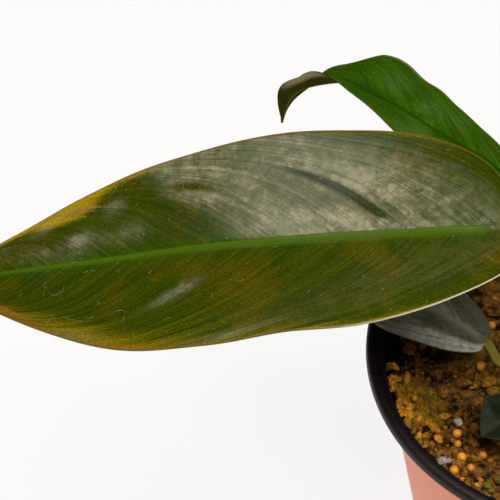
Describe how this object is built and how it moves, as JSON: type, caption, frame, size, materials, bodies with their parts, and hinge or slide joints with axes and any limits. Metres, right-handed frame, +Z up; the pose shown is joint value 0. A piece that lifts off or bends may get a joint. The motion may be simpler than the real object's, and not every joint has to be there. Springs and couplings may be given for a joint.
{
  "type": "potted plant",
  "caption": "Potted house plant: a rosette of long glossy leaves on one short stem, in a nursery pot set in a tapered cover pot.",
  "frame": {"origin": "centre of the cover pot's base, on the surface it stands on", "axes": "+Z up along the pots' axis, -X toward the longest leaf, -Y toward the viewer of the picture"},
  "size_m": [0.3202, 0.2633, 0.1981],
  "materials": {
    "leaf": "glossy dark green, bronze toward the margins",
    "stem": "satin green with brown leaf scars",
    "new_leaf": "glossy copper red",
    "soil": "rough, damp bark and peat with feed beads",
    "nursery_pot": "black, satin",
    "cover_pot": "salmon, matte"
  },
  "bodies": {
    "root": {"cover_pot": "cover_pot", "nursery_pot": "nursery_pot", "soil": "soil", "stem": "stem", "new_leaf": "new_leaf", "leaf_front_left": "leaf", "leaf_back_left": "leaf", "leaf_low_left": "leaf", "leaf_small_front": "leaf", "leaf_low_right": "leaf", "leaf_front_right": "leaf", "leaf_back_right": "leaf", "leaf_right": "leaf"}
  },
  "joints": []
}
